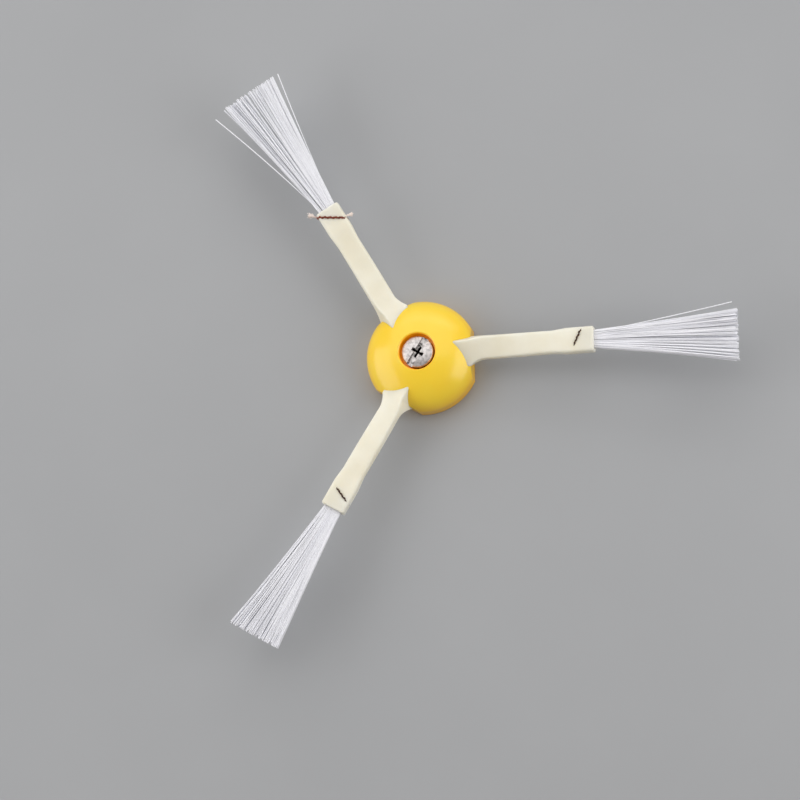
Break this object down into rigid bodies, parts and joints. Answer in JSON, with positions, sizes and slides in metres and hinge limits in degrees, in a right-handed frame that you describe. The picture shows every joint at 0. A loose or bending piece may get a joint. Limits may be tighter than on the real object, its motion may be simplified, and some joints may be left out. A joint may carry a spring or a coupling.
{
  "type": "robot vacuum side brush",
  "caption": "Side brush of a robot vacuum: a domed hub with a screw and radial rubber arms that end in stitched sleeves holding fans of nylon bristles; it sweeps dirt inwards from the edge",
  "frame": {"origin": "on the drive axis at the plane of the hub's base rim", "axes": "+Z along the drive axis out of the dome, +X along the first arm, +Y completing a right-handed frame"},
  "size_m": [0.1313, 0.1474, 0.0148],
  "materials": {
    "hub_plastic": "glossy moulded yellow plastic",
    "screw_metal": "bright nickel plate",
    "arm_rubber": "matte cream soft rubber",
    "bristle_nylon": "white translucent nylon filament",
    "stitch_thread": "red-brown twisted thread"
  },
  "bodies": {
    "root": {"hub": "hub_plastic", "screw": "screw_metal", "arm_1": "arm_rubber", "bristle_tuft_1": "bristle_nylon", "stitch_thread_1": "stitch_thread", "arm_2": "arm_rubber", "bristle_tuft_2": "bristle_nylon", "stitch_thread_2": "stitch_thread", "arm_3": "arm_rubber", "bristle_tuft_3": "bristle_nylon", "stitch_thread_3": "stitch_thread"}
  },
  "joints": []
}
